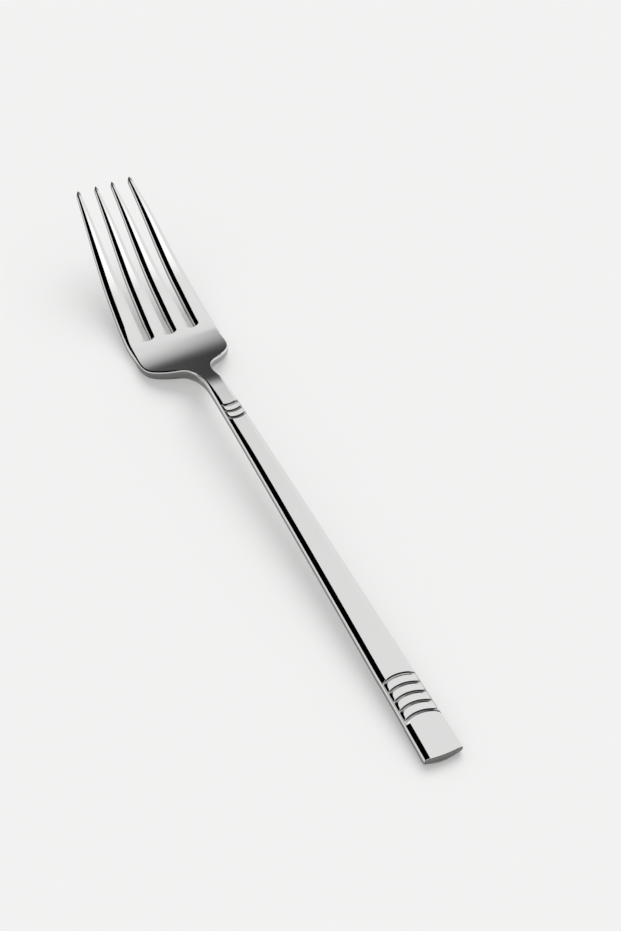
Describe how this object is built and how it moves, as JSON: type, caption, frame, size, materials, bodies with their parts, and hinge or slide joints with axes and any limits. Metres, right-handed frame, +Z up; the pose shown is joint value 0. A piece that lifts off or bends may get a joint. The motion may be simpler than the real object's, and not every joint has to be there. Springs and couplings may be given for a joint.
{
  "type": "dinner fork",
  "caption": "Dinner fork with slim tapering tines that sweep up, a squared flat head, a narrow raised neck and a flat bevelled handle with ribs across both its ends.",
  "frame": {"origin": "middle of the bounding box, on the surface the fork lies on", "axes": "+Y from the handle end toward the tine tips, +Z up out of the top face, +X to the right when looking from the handle end toward the tines"},
  "size_m": [0.0254, 0.205, 0.022],
  "materials": {
    "polished_steel": "mirror-polished stainless steel"
  },
  "bodies": {
    "root": {"end_pad": "polished_steel", "shank": "polished_steel", "end_rib_1": "polished_steel", "end_rib_2": "polished_steel", "end_rib_3": "polished_steel", "end_rib_4": "polished_steel", "neck": "polished_steel", "neck_rib_1": "polished_steel", "neck_rib_2": "polished_steel", "palm": "polished_steel", "outer_left_tine": "polished_steel", "inner_left_tine": "polished_steel", "inner_right_tine": "polished_steel", "outer_right_tine": "polished_steel"}
  },
  "joints": []
}
